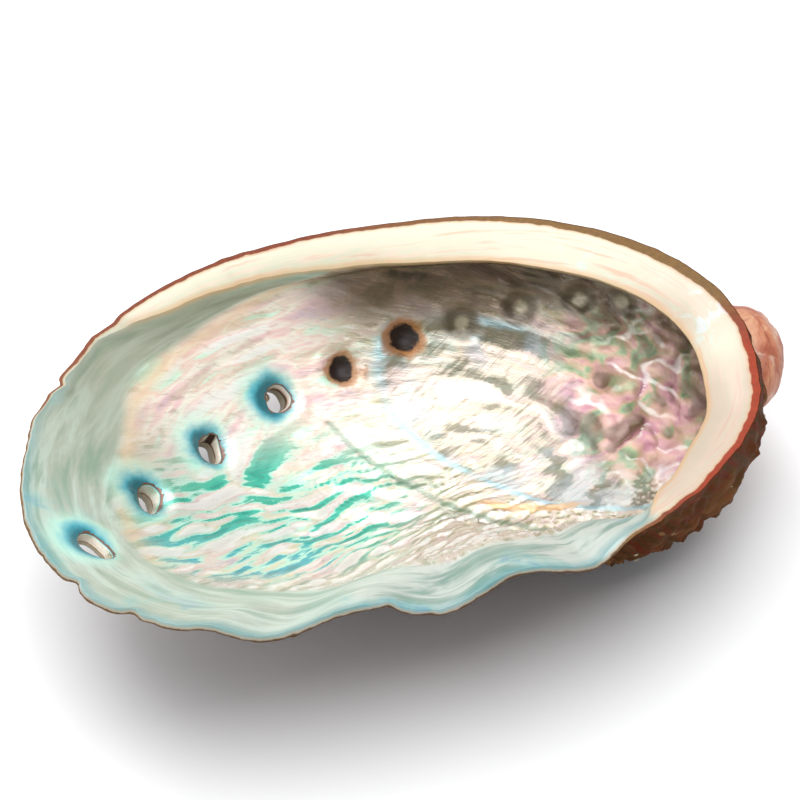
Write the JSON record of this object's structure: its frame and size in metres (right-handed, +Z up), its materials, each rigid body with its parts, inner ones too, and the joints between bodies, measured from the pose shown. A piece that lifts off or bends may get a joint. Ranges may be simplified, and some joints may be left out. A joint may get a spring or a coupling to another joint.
{
  "type": "abalone shell",
  "caption": "Deep oval ear-shaped sea shell lying mouth up, with an inner shelf, a row of pores along its back and a small cap-shaped shell grown on its outside.",
  "frame": {"origin": "middle of the underside of the whole part's box, where the shell lies on its back", "axes": "+X along the length of the mouth towards the spire end, +Y across it towards the inner lip with its shelf, +Z up out of the mouth"},
  "size_m": [0.1732, 0.1148, 0.0426],
  "materials": {
    "nacre": "polished mother of pearl inside, rough brown and olive crust outside",
    "slipper_shell": "satin, pinkish brown with darker streaks"
  },
  "bodies": {
    "root": {"abalone_shell": "nacre", "slipper_shell": "slipper_shell"}
  },
  "joints": []
}
